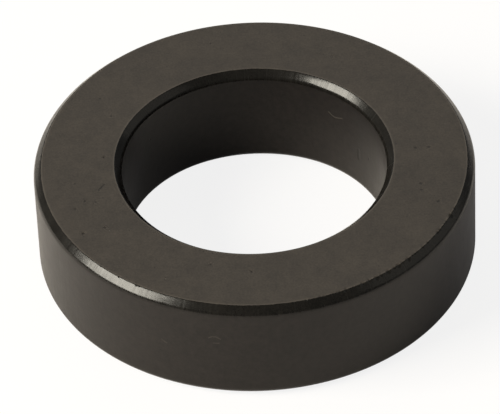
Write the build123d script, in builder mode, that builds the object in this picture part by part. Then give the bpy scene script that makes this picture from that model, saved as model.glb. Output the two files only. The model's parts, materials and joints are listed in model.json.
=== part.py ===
from build123d import *
import os

# Ferrite toroid core: one ring, pressed from ferrite powder and sintered.
# It lies flat. The Z axis runs up the middle of the bore, and the origin is
# the centre of the lower face. All sizes are in millimetres.

# The ring
outer_diameter = 31.0
bore_diameter = 18.6
height = 8.1

# The press tool leaves a 45 degree chamfer on each of the four rims.
outer_chamfer = 0.52
bore_chamfer = 0.5

# Tumbling after sintering rounds the corners of the chamfers: well where they
# run into the walls, and only a little where they meet the flat faces.
wall_rounding = 0.5
face_rounding = 0.1

outer_radius = outer_diameter / 2
bore_radius = bore_diameter / 2
ring_width = outer_radius - bore_radius


def rims_by_radius(ring):
    """The ring's circular edges in groups of equal radius, the bore's first."""
    return ring.edges().filter_by(GeomType.CIRCLE).group_by(SortBy.RADIUS)


with BuildPart() as toroid_core:
    with BuildSketch(Plane.XZ):
        with Locations((bore_radius, 0)):
            Rectangle(ring_width, height, align=(Align.MIN, Align.MIN))
    revolve(axis=Axis.Z)

    sharp_rims = rims_by_radius(toroid_core)
    chamfer(sharp_rims[-1], outer_chamfer)
    chamfer(sharp_rims[0], bore_chamfer)

    chamfered_rims = rims_by_radius(toroid_core)
    fillet(chamfered_rims[0] + chamfered_rims[-1], wall_rounding)

    flat_faces = toroid_core.faces().filter_by(Axis.Z)
    fillet(flat_faces.edges(), face_rounding)

toroid_core.part.label = "toroid_core"

os.makedirs("parts", exist_ok=True)
export_step(toroid_core.part, "parts/toroid_core.step")
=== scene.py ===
"""The looks of a ferrite toroid core: the pressed and sintered ring, and a plain studio to see it in."""

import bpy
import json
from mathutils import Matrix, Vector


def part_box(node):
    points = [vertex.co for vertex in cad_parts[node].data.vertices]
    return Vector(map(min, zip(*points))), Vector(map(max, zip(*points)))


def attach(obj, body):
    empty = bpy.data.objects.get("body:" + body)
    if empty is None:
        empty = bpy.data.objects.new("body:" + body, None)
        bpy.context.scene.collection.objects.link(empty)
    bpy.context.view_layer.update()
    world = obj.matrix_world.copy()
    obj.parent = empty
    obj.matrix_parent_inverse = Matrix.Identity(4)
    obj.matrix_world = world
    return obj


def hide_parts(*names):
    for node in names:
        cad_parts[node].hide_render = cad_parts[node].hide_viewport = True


bl_info = {
    "name": "Ferrite Toroid Core",
    "version": (1, 0, 0),
    "blender": (4, 5, 0),
    "location": "3D View > Sidebar > Toroid",
    "description": "Models a sintered ferrite ring with its press marks and finish, and lights it on a white table",
    "category": "Object",
}

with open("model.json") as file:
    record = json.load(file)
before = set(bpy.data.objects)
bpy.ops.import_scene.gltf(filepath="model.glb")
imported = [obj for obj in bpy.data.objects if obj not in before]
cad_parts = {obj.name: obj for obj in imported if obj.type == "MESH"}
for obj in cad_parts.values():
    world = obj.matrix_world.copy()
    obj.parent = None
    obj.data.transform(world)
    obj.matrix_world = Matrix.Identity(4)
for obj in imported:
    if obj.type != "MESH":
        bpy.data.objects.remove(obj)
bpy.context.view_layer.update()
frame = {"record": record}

import json
import math
import random

import bmesh
import bpy
from mathutils import Matrix, Vector, noise
from mathutils.geometry import intersect_point_line
from mathutils.kdtree import KDTree

CORE_LOW, CORE_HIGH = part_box("toroid_core")
MOUNTS = {mount["name"]: mount for mount in frame["record"]["mounts"]}

MM = 0.001
NODE = "toroid_core"
SAME_PLACE = 1e-7
WHITE = (1.0, 1.0, 1.0, 1.0)
GLOW_SEEN = 0.85  # how white the table looks to the camera, which leaves it a faint shadow
GLOW_REFLECTED = 0.08  # how white the ring reflects it
TABLE_PAINT = (0.85, 0.81, 0.78, 1.0)
WARM_LIGHT = (1.0, 0.95, 0.83)
COOL_LIGHT = (1.0, 1.0, 1.0)


# Sizes and colours that a user would change


class RingSizes(bpy.types.PropertyGroup):
    """The ring's section, as it leaves the press and the tumbling drum."""

    outer_radius: bpy.props.FloatProperty(
        name="Outer radius", description="From the axis to the outer wall",
        default=MOUNTS["outer_wall"]["dims"]["r_mm"] * MM, min=0.0, precision=5, unit="LENGTH")
    bore_radius: bpy.props.FloatProperty(
        name="Bore radius", description="From the axis to the bore wall",
        default=MOUNTS["bore"]["dims"]["r_mm"] * MM, min=0.0, precision=5, unit="LENGTH")
    height: bpy.props.FloatProperty(
        name="Height", description="From the lower face to the upper one",
        default=CORE_HIGH.z - CORE_LOW.z, min=0.0, precision=5, unit="LENGTH")
    outer_chamfer: bpy.props.FloatProperty(
        name="Outer chamfer", description="Leg of the 45 degree chamfer on the two outer rims",
        default=0.52 * MM, min=0.0, precision=5, unit="LENGTH")
    bore_chamfer: bpy.props.FloatProperty(
        name="Bore chamfer", description="Leg of the 45 degree chamfer on the bore's two rims",
        default=0.5 * MM, min=0.0, precision=5, unit="LENGTH")
    wall_rounding: bpy.props.FloatProperty(
        name="Wall rounding", description="Radius between a chamfer and a wall",
        default=0.5 * MM, min=0.0, precision=5, unit="LENGTH")
    face_rounding: bpy.props.FloatProperty(
        name="Face rounding", description="Radius between a chamfer and a flat face",
        default=0.1 * MM, min=0.0, precision=5, unit="LENGTH")
    cell: bpy.props.FloatProperty(
        name="Cell", description="Largest side of the mesh's faces",
        default=0.26 * MM, min=0.05 * MM, precision=5, unit="LENGTH")


class FerriteLook(bpy.types.PropertyGroup):
    """Colours and finish of the fired ferrite."""

    # The faces' colour sits well above the ferrite's near black: partly the rough faces' own duller grey, partly
    # painted reflection of the bright backdrop behind the ring.
    face_colour: bpy.props.FloatVectorProperty(
        name="Face colour", description="Warm dark grey of the flat faces, dull from firing",
        default=(0.0355, 0.0300, 0.0243), size=3, min=0.0, max=1.0, subtype="COLOR")
    wall_colour: bpy.props.FloatVectorProperty(
        name="Wall colour", description="Darker grey of the walls that slid in the press tool",
        default=(0.0098, 0.0080, 0.0071), size=3, min=0.0, max=1.0, subtype="COLOR")
    # Over the roundings below the chamfers, and under the bore's rims, this colour is painted shade.
    chamfer_colour: bpy.props.FloatVectorProperty(
        name="Chamfer colour", description="Near black of the chamfers, rubbed smooth in the drum",
        default=(0.008, 0.0073, 0.0062), size=3, min=0.0, max=1.0, subtype="COLOR")
    # Used for the scratches, which are real wear, and for the painted highlight along the faces' edges beside the
    # chamfers.
    worn_and_highlight_colour: bpy.props.FloatVectorProperty(
        name="Worn colour", description="Paler grey of rubbed edges and scratches",
        default=(0.105, 0.092, 0.076), size=3, min=0.0, max=1.0, subtype="COLOR")
    # Painted shade: the colour that darkens pores, pits and chips, where shade falls in their hollows.
    pore_shade: bpy.props.FloatVectorProperty(
        name="Pores", description="Dark inside of pores and pits",
        default=(0.004, 0.004, 0.0035), size=3, min=0.0, max=1.0, subtype="COLOR")
    face_roughness: bpy.props.FloatProperty(
        name="Face roughness", description="Roughness of the flat faces",
        default=0.52, min=0.0, max=1.0, subtype="FACTOR")
    wall_roughness: bpy.props.FloatProperty(
        name="Wall roughness", description="Roughness of the walls that slid in the press tool",
        default=0.40, min=0.0, max=1.0, subtype="FACTOR")
    chamfer_roughness: bpy.props.FloatProperty(
        name="Chamfer roughness", description="Roughness of the chamfers, rubbed smooth in the drum",
        default=0.22, min=0.0, max=1.0, subtype="FACTOR")
    specular: bpy.props.FloatProperty(
        name="Specular", description="Strength of the ferrite's dull shine",
        default=0.25, min=0.0, max=1.0, subtype="FACTOR")


class Studio(bpy.types.PropertyGroup):
    """Table, lamps and camera."""

    table_radius: bpy.props.FloatProperty(
        name="Table radius", description="Radius of the white table top",
        default=1.5, min=0.1, unit="LENGTH")
    key_power: bpy.props.FloatProperty(
        name="Key power", description="Power of the warm soft box to the left",
        default=3.8, min=0.0, unit="POWER")
    back_power: bpy.props.FloatProperty(
        name="Back power", description="Power of the wide soft light behind the ring",
        default=3.0, min=0.0, unit="POWER")
    fill_power: bpy.props.FloatProperty(
        name="Fill power", description="Power of the dim soft light to the right",
        default=0.36, min=0.0, unit="POWER")
    room_level: bpy.props.FloatProperty(
        name="Room level", description="Strength of the dim light from all round",
        default=0.15, min=0.0)
    lens: bpy.props.FloatProperty(
        name="Lens", description="Focal length of the camera", default=347.07, min=1.0, unit="CAMERA")
    camera_distance: bpy.props.FloatProperty(
        name="Camera distance", description="From the camera to what it looks at",
        default=0.341, min=0.01, unit="LENGTH")
    camera_elevation: bpy.props.FloatProperty(
        name="Camera elevation", description="Angle of the camera above the table",
        default=math.radians(41.96), subtype="ANGLE")
    camera_roll: bpy.props.FloatProperty(
        name="Camera roll", description="Turn of the camera about its own line of sight",
        default=math.radians(-2.535), subtype="ANGLE")
    camera_target: bpy.props.FloatVectorProperty(
        name="Camera target", description="The place that the camera looks at",
        default=(-0.423 * MM, 0.0, 3.622 * MM), size=3, precision=5, subtype="TRANSLATION")


# Shader maths


class Signal:
    """An output socket of a shader node that takes part in Python expressions."""

    def __init__(self, tree, socket):
        self.tree = tree
        self.socket = socket

    def _sum(self, operation, first, second):
        return node(self.tree, "ShaderNodeMath", {"operation": operation}, {0: first, 1: second})

    def __add__(self, other):
        return self._sum("ADD", self, other)

    __radd__ = __add__

    def __sub__(self, other):
        return self._sum("SUBTRACT", self, other)

    def __rsub__(self, other):
        return self._sum("SUBTRACT", other, self)

    def __mul__(self, other):
        return self._sum("MULTIPLY", self, other)

    __rmul__ = __mul__

    def __truediv__(self, other):
        return self._sum("DIVIDE", self, other)

    def __abs__(self):
        return node(self.tree, "ShaderNodeMath", {"operation": "ABSOLUTE"}, {0: self})

    def above(self, other):
        """The larger of the two."""
        return self._sum("MAXIMUM", self, other)

    def below(self, other):
        """The smaller of the two."""
        return self._sum("MINIMUM", self, other)

    def fade(self, start, end):
        """0 at start, 1 at end and a smooth curve between them."""
        settings = {"interpolation_type": "SMOOTHSTEP"}
        return node(self.tree, "ShaderNodeMapRange", settings, {"Value": self, "From Min": start, "From Max": end})


def node(tree, kind, settings, inputs, output=0):
    """Adds a node: its settings first, then the values or links of its sockets. Gives one output."""
    made = tree.nodes.new(kind)
    for name, value in settings.items():
        setattr(made, name, value)
    for key, value in inputs.items():
        if isinstance(value, Signal):
            tree.links.new(value.socket, made.inputs[key])
        else:
            made.inputs[key].default_value = value
    return Signal(tree, made.outputs[output])


def mix_colours(tree, factor, first, second):
    """A colour between two, through a Mix node. A plain colour is three numbers."""
    colours = [c if isinstance(c, Signal) else (*c, 1.0) for c in (first, second)]
    settings = {"data_type": "RGBA"}
    return node(tree, "ShaderNodeMix", settings, {0: factor, 6: colours[0], 7: colours[1]}, 2)


def vector_maths(tree, operation, first, second):
    """A Vector Math node. The second is a vector, or a number for SCALE."""
    key = "Scale" if operation == "SCALE" else 1
    return node(tree, "ShaderNodeVectorMath", {"operation": operation}, {0: first, key: second})


def grain(tree, where, size, detail, roughness=0.5):
    """Noise whose lumps are about this size in metres, from 0 to 1."""
    inputs = {"Vector": where, "Scale": 1.0 / size, "Detail": detail, "Roughness": roughness}
    return node(tree, "ShaderNodeTexNoise", {}, inputs)


def new_material(name):
    """An empty material and its node tree."""
    material = bpy.data.materials.new(name)
    material.use_nodes = True
    material.node_tree.nodes.clear()
    return material, material.node_tree


# The ring


WALL_ROUNDING_STEPS = 8
FACE_ROUNDING_STEPS = 3
EVEN_STEPS = 8  # the turn is cut into a multiple of this many steps


def near(a, b):
    """True where two lengths are the same within a ten thousandth of a millimetre."""
    return abs(a - b) < SAME_PLACE


def bevel_corners(section, corners, length, segments):
    """Cuts or rounds corners of the flat section, this far along each of its sides."""
    bmesh.ops.bevel(
        section, geom=corners, offset=length, offset_type="OFFSET", affect="VERTICES",
        segments=segments, profile=0.5, material=-1, clamp_overlap=True)


def tangent_length(radius):
    """How far a rounding of this radius runs along each side of a 135 degree corner."""
    return radius * math.tan(math.radians(22.5))


def make_section(sizes):
    """The closed outline of the ring's section in the XZ plane: chamfered, rounded and cut into short edges."""
    section = bmesh.new()
    sides = (sizes.bore_radius, sizes.outer_radius)
    corners = [section.verts.new((x, 0.0, z)) for x, z in (
        (sides[0], 0.0), (sides[1], 0.0), (sides[1], sizes.height), (sides[0], sizes.height))]
    section.faces.new(corners)

    for radius, chamfer in zip(sides, (sizes.bore_chamfer, sizes.outer_chamfer)):
        bevel_corners(section, [v for v in section.verts if near(v.co.x, radius)], chamfer, 1)
    at_faces = [v for v in section.verts if near(v.co.z, 0.0) or near(v.co.z, sizes.height)]
    at_walls = [v for v in section.verts if v not in at_faces]
    bevel_corners(section, at_walls, tangent_length(sizes.wall_rounding), WALL_ROUNDING_STEPS)
    at_faces = [v for v in section.verts if near(v.co.z, 0.0) or near(v.co.z, sizes.height)]
    bevel_corners(section, at_faces, tangent_length(sizes.face_rounding), FACE_ROUNDING_STEPS)

    bmesh.ops.delete(section, geom=section.faces[:], context="FACES_ONLY")
    for edge in section.edges[:]:
        pieces = math.ceil(edge.calc_length() / sizes.cell)
        if pieces > 1:
            bmesh.ops.subdivide_edges(section, edges=[edge], cuts=pieces - 1)
    return section


def spin_section(section, sizes):
    """Turns the outline once round the axis and closes the seam."""
    steps = math.ceil(2.0 * math.pi * sizes.outer_radius / sizes.cell / EVEN_STEPS) * EVEN_STEPS
    bmesh.ops.spin(
        section, geom=section.verts[:] + section.edges[:], cent=(0.0, 0.0, 0.0), axis=(0.0, 0.0, 1.0),
        dvec=(0.0, 0.0, 0.0), angle=2.0 * math.pi, steps=steps, use_merge=True)
    bmesh.ops.remove_doubles(section, verts=section.verts[:], dist=SAME_PLACE)
    bmesh.ops.recalc_face_normals(section, faces=section.faces[:])
    for face in section.faces:
        face.smooth = True


def on_ring(azimuth, radius, height):
    """A place on the ring: degrees round from the front towards the right, then two lengths in millimetres."""
    angle = math.radians(azimuth)
    return Vector((math.sin(angle) * radius, -math.cos(angle) * radius, height)) * MM


# Marks of use and of the press: the layer that each darkens or lightens, its half width and its depth in
# millimetres, and the places it runs through (degrees, millimetres, millimetres). Pits get painted shade in their
# hollows, scratches a paler grey.
TOP = round((CORE_HIGH.z - CORE_LOW.z) / MM, 3)
WALL = MOUNTS["outer_wall"]["dims"]["r_mm"]
BORE = MOUNTS["bore"]["dims"]["r_mm"]
MARKS = (
    ("pit_shade", 0.16, 0.055, ((-95.0, 10.55, TOP),)),
    ("pit_shade", 0.14, 0.035, ((-73.0, 12.40, TOP),)),
    ("pit_shade", 0.14, 0.032, ((-70.7, 13.30, TOP),)),
    ("pit_shade", 0.17, 0.065, ((-60.0, 13.85, TOP),)),
    ("pit_shade", 0.16, 0.042, ((-58.5, 12.30, TOP),)),
    ("pit_shade", 0.13, 0.015, ((-71.4, 11.75, TOP),)),
    ("pit_shade", 0.13, 0.015, ((-82.0, 12.70, TOP),)),
    ("pit_shade", 0.17, 0.042, ((-2.4, 11.60, TOP),)),
    ("pit_shade", 0.14, 0.018, ((-17.0, 11.20, TOP),)),
    ("pit_shade", 0.14, 0.018, ((-118.0, 11.30, TOP),)),
    ("pit_shade", 0.14, 0.018, ((-124.0, 13.00, TOP),)),
    ("pit_shade", 0.12, 0.014, ((-77.0, 11.20, TOP), (-79.5, 10.70, TOP))),
    ("pit_shade", 0.20, 0.024, ((74.0, 12.00, TOP),)),
    ("pit_shade", 0.18, 0.018, ((71.0, 12.20, TOP),)),
    ("pit_shade", 0.20, 0.026, ((67.5, 13.70, TOP),)),
    ("pit_shade", 0.18, 0.020, ((92.4, 11.40, TOP),)),
    ("pit_shade", 0.18, 0.020, ((92.3, 12.30, TOP),)),
    ("pit_shade", 0.10, 0.030, ((151.0, 12.40, TOP),)),
    ("pit_shade", 0.11, 0.030, ((-168.0, 13.10, TOP),)),
    ("scratch", 0.09, 0.025, ((-28.3, 13.50, TOP),)),
    ("scratch", 0.08, 0.022, ((143.8, BORE, 5.66), (142.2, BORE, 5.50), (140.4, BORE, 5.40), (136.4, BORE, 5.66))),
    ("scratch", 0.055, 0.008, ((-13.6, WALL, 5.34), (-12.7, WALL, 5.50), (-11.6, WALL, 5.50), (-10.5, WALL, 5.32))),
    ("scratch", 0.055, 0.007, ((-12.4, WALL, 4.90), (-11.0, WALL, 4.94))),
    ("scratch", 0.055, 0.007, ((-26.4, WALL, 4.30), (-24.9, WALL, 4.08))),
    ("pit_shade", 0.20, 0.018, ((126.0, BORE, 3.7), (126.0, BORE, 2.9))),
    ("pit_shade", 0.18, 0.018, ((118.0, BORE, 3.8),)),
    ("pit_shade", 0.10, 0.030, ((-128.0, BORE, 5.4),)),
    ("pit_shade", 0.13, 0.040, ((-34.0, 14.96, 8.09),)),
    ("pit_shade", 0.14, 0.040, ((206.0, WALL, 5.1),)),
    ("scratch", 0.06, 0.012, ((162.0, WALL, 5.9), (158.5, WALL, 4.7))),
    ("pit_shade", 0.16, 0.035, ((262.0, WALL, 2.9),)),
    ("pit_shade", 0.13, 0.045, ((40.0, 12.8, 0.0),)),
    ("pit_shade", 0.15, 0.055, ((196.0, 11.3, 0.0),)),
)

# Chips on the edges of the faces, with ranges for their half widths and depths in millimetres. CHIPPED is the
# stretch of the upper outer edge, in degrees, that small chips line, NICKS are the places of the larger ones
# on it, and STRAYS is where a few fine ones lie on every edge.
CHIP_SEED = 31
CHIPPED = (12.0, 68.0)
CHIP_SPACING = (0.7, 2.6)
CHIP_SIZES = (0.08, 0.18), (0.03, 0.07)
NICKS = (23.0, 28.0, 32.0, 36.0, 39.5, 43.0, 63.5)
NICK_SIZES = (0.20, 0.27), (0.07, 0.10)
STRAYS = (175.0, 370.0)
STRAY_SIZES = (0.05, 0.10), (0.015, 0.03)
STRAYS_PER_EDGE = 9

# How the mesh is refined and pressed in at a mark.
REFINING_CUTS = 4
RAGGEDNESS = 0.45
RAG_SIZE = 0.07 * MM


def edge_chips(sizes):
    """Chips along the edges of the faces, close together at the upper one's right front, few elsewhere."""
    draw = random.Random(CHIP_SEED)
    edges = (sizes.outer_radius - sizes.outer_chamfer) / MM, (sizes.bore_radius + sizes.bore_chamfer) / MM
    chips = []

    # Each chip is cut in like a pit and darkened with painted shade.
    def chip(chip_sizes, place):
        width, depth = (draw.uniform(*limits) for limits in chip_sizes)
        chips.append(("pit_shade", width, depth, (place,)))

    for azimuth in NICKS:
        chip(NICK_SIZES, (azimuth, edges[0] + 0.05, TOP))
    azimuth = CHIPPED[0]
    while azimuth < CHIPPED[1]:
        chip(CHIP_SIZES, (azimuth, edges[0], TOP))
        azimuth += draw.uniform(*CHIP_SPACING)
    for height in (TOP, 0.0):
        for radius in edges:
            for _ in range(STRAYS_PER_EDGE):
                chip(STRAY_SIZES, (draw.uniform(*STRAYS), radius, height))
    return chips


def vertex_finder(ring):
    """A tree that finds the ring's vertices by place."""
    ring.verts.ensure_lookup_table()
    tree = KDTree(len(ring.verts))
    for index, vertex in enumerate(ring.verts):
        tree.insert(vertex.co, index)
    tree.balance()
    return tree


def steps_along(line, step):
    """Places along a line of points, no further apart than this."""
    places = [line[0]]
    for start, end in zip(line, line[1:]):
        count = max(1, math.ceil((end - start).length / step))
        places += [start.lerp(end, i / count) for i in range(1, count + 1)]
    return places


def distance_to(place, line):
    """From a place to the nearest part of a line of points."""
    if len(line) == 1:
        return (place - line[0]).length
    nearest = []
    for start, end in zip(line, line[1:]):
        foot, share = intersect_point_line(place, start, end)
        foot = start if share < 0.0 else end if share > 1.0 else foot
        nearest.append((place - foot).length)
    return min(nearest)


def cut_marks(ring, sizes):
    """Refines the mesh at each mark and presses the mark into it."""
    marks = [
        (layer, width * MM, depth * MM, [on_ring(*place) for place in places])
        for layer, width, depth, places in (*MARKS, *edge_chips(sizes))]

    finder = vertex_finder(ring)
    chosen = {
        index for _, width, _, line in marks for place in steps_along(line, sizes.cell)
        for _, index, _ in finder.find_range(place, width + 0.7 * sizes.cell)}
    ring.edges.index_update()
    around = {edge for index in chosen for face in ring.verts[index].link_faces for edge in face.edges}
    long_ones = (edge for edge in around if edge.calc_length() > 0.3 * sizes.cell)
    edges = sorted(long_ones, key=lambda edge: edge.index)
    bmesh.ops.subdivide_edges(ring, edges=edges, cuts=REFINING_CUTS, use_grid_fill=True)
    ring.normal_update()

    layers = {name: ring.verts.layers.float.new(name) for name in ("pit_shade", "scratch")}
    finder = vertex_finder(ring)
    moves = {}
    for layer, width, depth, line in marks:
        near_line = {
            index for place in steps_along(line, width)
            for _, index, _ in finder.find_range(place, 1.9 * width)}
        for index in sorted(near_line):
            vertex = ring.verts[index]
            ragged = 1.0 + RAGGEDNESS * noise.noise(vertex.co / RAG_SIZE)
            share = max(0.0, 1.0 - (distance_to(vertex.co, line) / (width * ragged)) ** 2) ** 2
            moves[index] = max(moves.get(index, 0.0), depth * share)
            # The share that darkens a pit with painted shade, or pales a scratch.
            vertex[layers[layer]] = max(vertex[layers[layer]], share)
    for index, depth in moves.items():
        ring.verts[index].co -= ring.verts[index].normal * depth
    for face in ring.faces:
        face.smooth = True


# Sizes of the ferrite's texture, and how far a chamfer's colour runs down the wall past its rounding: painted
# shade, deeper in the bore than on the outside.
MOTTLE_SIZE = 1.5 * MM
PEEL_SIZE = 0.42 * MM
FINE_SIZE = 0.15 * MM
LINE_SIZE = 0.22 * MM
LINE_STRETCH = 0.04
PORE_SPACING = 0.9 * MM
UNEVEN_SIZE = 0.5 * MM
UNEVEN_DEPTH = 0.06 * MM
OUTER_SHADE_REACH = 0.58 * MM
BORE_SHADE_REACH = 0.68 * MM
BUMP_DEPTH = 0.004 * MM


def chamfer_zone(from_wall, down, leg, shade_reach):
    """1 on a chamfer of this leg, fading out at the flat face and this far down the wall, where the chamfer's dark
    colour is painted shade.
    """
    return from_wall.fade(leg + 0.05 * MM, leg + 0.01 * MM) * down.fade(shade_reach + 0.07 * MM, shade_reach - 0.07 * MM)


def edge_highlight_band(from_wall, leg):
    """1 on the flat face along the edge of a chamfer of this leg, fading out a tenth of a millimetre in: the band
    that gets a painted highlight.
    """
    return from_wall.fade(leg + 0.16 * MM, leg + 0.05 * MM) * from_wall.fade(leg, leg + 0.04 * MM)


def ferrite_material(sizes, look):
    """Fired ferrite: a dull warm grey with grain, pores, press lines on its walls and smoother chamfers, with
    painted reflection in the faces' grey, painted shade in pores, pits and chips and on the roundings below the
    chamfers, and a painted highlight along the faces' edges.
    """
    material, tree = new_material("sintered_ferrite")
    where = node(tree, "ShaderNodeTexCoord", {}, {}, "Object")
    place = node(tree, "ShaderNodeSeparateXYZ", {}, {0: where})
    x, y, z = (Signal(tree, place.socket.node.outputs[i]) for i in range(3))
    flat = node(tree, "ShaderNodeCombineXYZ", {}, {"X": x, "Y": y, "Z": 0.0})
    radius = node(tree, "ShaderNodeVectorMath", {"operation": "LENGTH"}, {0: flat}, "Value")
    below_face = sizes.height / 2.0 - abs(z - sizes.height / 2.0)

    # Uneven edges: the zones below start and end a few hundredths of a millimetre early or late.
    uneven = (grain(tree, where, UNEVEN_SIZE, 3.0) - 0.5) * UNEVEN_DEPTH
    from_outer = sizes.outer_radius - radius + uneven
    from_bore = radius - sizes.bore_radius + uneven
    down = below_face + uneven

    # Chamfers, each with the rounding that carries it into its wall, which takes the chamfer's dark colour as
    # painted shade, and the edge of the face beside it, which gets a painted highlight.
    on_outer = chamfer_zone(from_outer, down, sizes.outer_chamfer, OUTER_SHADE_REACH)
    on_bore = chamfer_zone(from_bore, down, sizes.bore_chamfer, BORE_SHADE_REACH)
    chamfer = on_outer.above(on_bore)
    on_wall = below_face.fade(0.30 * MM, 0.45 * MM)
    # The band along the faces' edges that gets a painted highlight, paler than the face.
    rubbed = edge_highlight_band(from_outer, sizes.outer_chamfer).above(edge_highlight_band(from_bore, sizes.bore_chamfer))
    rubbed = rubbed * below_face.fade(0.05 * MM, 0.02 * MM)

    mottle = grain(tree, where, MOTTLE_SIZE, 3.0)
    peel = grain(tree, where, PEEL_SIZE, 2.0)
    fine = grain(tree, where, FINE_SIZE, 2.0)

    # Lines that the press tool draws up the walls: noise on the direction from the axis, drawn out along Z.
    stretch = node(tree, "ShaderNodeCombineXYZ", {}, {
        "X": x / radius * sizes.outer_radius, "Y": y / radius * sizes.outer_radius, "Z": z * LINE_STRETCH})
    lines = grain(tree, stretch, LINE_SIZE, 3.0)

    tone = (mottle - 0.5) * 0.6 + (fine - 0.5) * 0.8 + (peel - 0.5) * (0.4 + 0.8 * on_wall)
    tone = tone + (lines - 0.5) * on_wall * 0.15 + 1.0
    # Faces, walls and chamfers take their own colours; the faces' lighter one holds painted reflection of the
    # backdrop.
    body = mix_colours(tree, on_wall, tuple(look.face_colour), tuple(look.wall_colour))
    # The chamfers' near-black colour, which over the roundings below them and under the bore's rims is painted
    # shade.
    body = mix_colours(tree, chamfer, body, tuple(look.chamfer_colour))
    body = vector_maths(tree, "SCALE", body, tone)
    # Painted highlight: the faces' edges beside the chamfers, lightened towards the paler grey.
    body = mix_colours(tree, rubbed * 0.30, body, tuple(look.worn_and_highlight_colour))

    # Painted shade: pits, chips and pores darkened towards the pore colour, where shade falls in their hollows.
    pit_shade = node(tree, "ShaderNodeAttribute", {"attribute_name": "pit_shade"}, {}, "Fac")
    scratch = node(tree, "ShaderNodeAttribute", {"attribute_name": "scratch"}, {}, "Fac")
    pores = node(tree, "ShaderNodeTexVoronoi", {"feature": "F1"}, {"Vector": where, "Scale": 1.0 / PORE_SPACING})
    pore_size = grain(tree, where, MOTTLE_SIZE, 1.0)
    pore_shade = (pores / pore_size).fade(0.13, 0.07)
    dark = (pore_shade * 0.5).above(pit_shade.fade(0.05, 0.9) * 0.6)
    colour = mix_colours(tree, dark, body, tuple(look.pore_shade))
    colour = mix_colours(tree, scratch.fade(0.05, 1.0) * 0.36, colour, tuple(look.worn_and_highlight_colour))

    roughness = look.face_roughness + (look.wall_roughness - look.face_roughness) * on_wall
    roughness = roughness + (look.chamfer_roughness - roughness) * chamfer
    roughness = roughness + (mottle - 0.5) * 0.10 + (lines - 0.5) * (chamfer * 0.30 + on_wall * 0.06)

    relief = fine * 0.6 + peel * (0.6 + 2.2 * on_wall) + lines * (chamfer * 0.25 + on_wall * 0.2) - pore_shade * 1.5
    bump = node(tree, "ShaderNodeBump", {}, {"Strength": 0.5, "Distance": BUMP_DEPTH, "Height": relief}, "Normal")

    shader = node(tree, "ShaderNodeBsdfPrincipled", {}, {
        "Base Color": colour, "Roughness": roughness, "Normal": bump,
        "Specular IOR Level": look.specular}, "BSDF")
    tree.links.new(shader.socket, tree.nodes.new("ShaderNodeOutputMaterial").inputs["Surface"])
    return material


def straight_rays(tree):
    """1 for a ray straight from the camera or through something clear, else 0, and then every kind of ray."""
    rays = tree.nodes.new("ShaderNodeLightPath").outputs
    seen = (Signal(tree, rays["Is Camera Ray"]) + Signal(tree, rays["Is Transmission Ray"])).below(1.0)
    return seen, rays


def add_mesh_object(name, mesh_maker, material):
    """Writes a bmesh into a new object that sits at the origin."""
    mesh = bpy.data.meshes.new(name)
    mesh_maker.to_mesh(mesh)
    mesh_maker.free()
    mesh.materials.append(material)
    made = bpy.data.objects.new(name, mesh)
    bpy.context.scene.collection.objects.link(made)
    return made


class TOROID_OT_ring(bpy.types.Operator):
    """Model the ferrite ring in place of its plain CAD solid"""

    bl_idname = "toroid.ring"
    bl_label = "Ferrite ring"

    def execute(self, context):
        scene = context.scene
        ring = make_section(scene.toroid_ring)
        spin_section(ring, scene.toroid_ring)
        cut_marks(ring, scene.toroid_ring)
        piece = add_mesh_object("ferrite_ring", ring, ferrite_material(scene.toroid_ring, scene.toroid_look))
        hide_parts(NODE)
        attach(piece, "root")
        return {"FINISHED"}


class TOROID_OT_stage(bpy.types.Operator):
    """Lay the white table top under the ring"""

    bl_idname = "toroid.stage"
    bl_label = "White table"

    def execute(self, context):
        studio = context.scene.toroid_studio
        material, tree = new_material("white_table")
        seen, rays = straight_rays(tree)
        share = seen * GLOW_SEEN + Signal(tree, rays["Is Glossy Ray"]) * GLOW_REFLECTED
        paint = node(tree, "ShaderNodeBsdfDiffuse", {}, {"Color": TABLE_PAINT})
        glow = node(tree, "ShaderNodeEmission", {}, {"Color": WHITE, "Strength": 1.0})
        surface = node(tree, "ShaderNodeMixShader", {}, {0: share, 1: paint, 2: glow})
        tree.links.new(surface.socket, tree.nodes.new("ShaderNodeOutputMaterial").inputs["Surface"])

        top = bmesh.new()
        bmesh.ops.create_circle(top, cap_ends=True, segments=96, radius=studio.table_radius)
        bmesh.ops.translate(top, verts=top.verts[:], vec=(0.0, 0.0, CORE_LOW.z))
        add_mesh_object("table_top", top, material)
        return {"FINISHED"}


def add_lamp(name, direction, distance, size, power, colour, aim):
    """A soft box, of this width and height, that faces the ring."""
    lamp = bpy.data.lights.new(name, "AREA")
    lamp.shape = "RECTANGLE"
    lamp.size, lamp.size_y = size
    lamp.energy = power
    lamp.color = colour
    holder = bpy.data.objects.new(name, lamp)
    way = Vector(direction).normalized()
    holder.location = aim + way * distance
    holder.rotation_mode = "QUATERNION"
    holder.rotation_quaternion = way.to_track_quat("Z", "Y")
    bpy.context.scene.collection.objects.link(holder)


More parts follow.
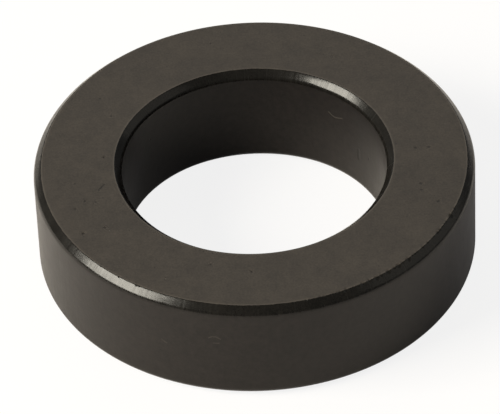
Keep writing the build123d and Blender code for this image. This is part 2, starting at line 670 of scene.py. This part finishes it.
class TOROID_OT_light(bpy.types.Operator):
    """Hang the lamps and set the room's dim light"""

    bl_idname = "toroid.light"
    bl_label = "Studio light"

    def execute(self, context):
        studio = context.scene.toroid_studio
        middle = (CORE_LOW + CORE_HIGH) / 2.0
        add_lamp("key_lamp", (-0.778, -0.236, 0.582), 0.45, (0.26, 0.19), studio.key_power, WARM_LIGHT, middle)
        add_lamp("back_lamp", (0.0, 0.747, 0.665), 1.2, (1.2, 0.9), studio.back_power, COOL_LIGHT, middle)
        add_lamp("fill_lamp", (0.85, 0.0, 0.53), 0.6, (0.6, 0.36), studio.fill_power, WARM_LIGHT, middle)

        world = bpy.data.worlds.new("white_room")
        world.use_nodes = True
        tree = world.node_tree
        tree.nodes.clear()
        seen, _ = straight_rays(tree)
        strength = seen * (1.0 - studio.room_level) + studio.room_level
        light = node(tree, "ShaderNodeBackground", {}, {"Color": WHITE, "Strength": strength})
        tree.links.new(light.socket, tree.nodes.new("ShaderNodeOutputWorld").inputs["Surface"])
        context.scene.world = world
        context.scene.view_settings.view_transform = "Standard"
        return {"FINISHED"}


class TOROID_OT_camera(bpy.types.Operator):
    """Set up the camera in front of the ring, looking down at it"""

    bl_idname = "toroid.camera"
    bl_label = "Camera"

    def execute(self, context):
        studio = context.scene.toroid_studio
        data = bpy.data.cameras.new("camera")
        data.lens = studio.lens
        data.clip_start = 0.01
        data.clip_end = 10.0
        camera = bpy.data.objects.new("camera", data)
        back = Vector((0.0, -math.cos(studio.camera_elevation), math.sin(studio.camera_elevation)))
        camera.location = Vector(studio.camera_target) + back * studio.camera_distance
        camera.rotation_mode = "QUATERNION"
        upright = (-back).to_track_quat("-Z", "Y")
        camera.rotation_quaternion = upright @ Matrix.Rotation(studio.camera_roll, 3, "Z").to_quaternion()
        context.scene.collection.objects.link(camera)
        context.scene.camera = camera
        return {"FINISHED"}


class TOROID_PT_sidebar(bpy.types.Panel):
    """The ring and its studio in the 3D view's sidebar"""

    bl_idname = "TOROID_PT_sidebar"
    bl_label = "Ferrite Toroid Core"
    bl_space_type = "VIEW_3D"
    bl_region_type = "UI"
    bl_category = "Toroid"

    def draw(self, context):
        for name in ("toroid_ring", "toroid_look", "toroid_studio"):
            box = self.layout.box()
            group = getattr(context.scene, name)
            for key in group.__annotations__:
                box.prop(group, key)
        for operator in OPERATORS:
            self.layout.operator(operator.bl_idname)


GROUPS = {"toroid_ring": RingSizes, "toroid_look": FerriteLook, "toroid_studio": Studio}
OPERATORS = (TOROID_OT_ring, TOROID_OT_stage, TOROID_OT_light, TOROID_OT_camera)


def register():
    for name, group in GROUPS.items():
        bpy.utils.register_class(group)
        setattr(bpy.types.Scene, name, bpy.props.PointerProperty(type=group))
    for kind in (*OPERATORS, TOROID_PT_sidebar):
        bpy.utils.register_class(kind)


def unregister():
    for kind in (TOROID_PT_sidebar, *reversed(OPERATORS)):
        bpy.utils.unregister_class(kind)
    for name, group in reversed(GROUPS.items()):
        delattr(bpy.types.Scene, name)
        bpy.utils.unregister_class(group)


def main():
    register()
    bpy.ops.toroid.camera()
    bpy.ops.toroid.ring()
    bpy.ops.toroid.stage()
    bpy.ops.toroid.light()


if __name__ == "__main__":
    main()
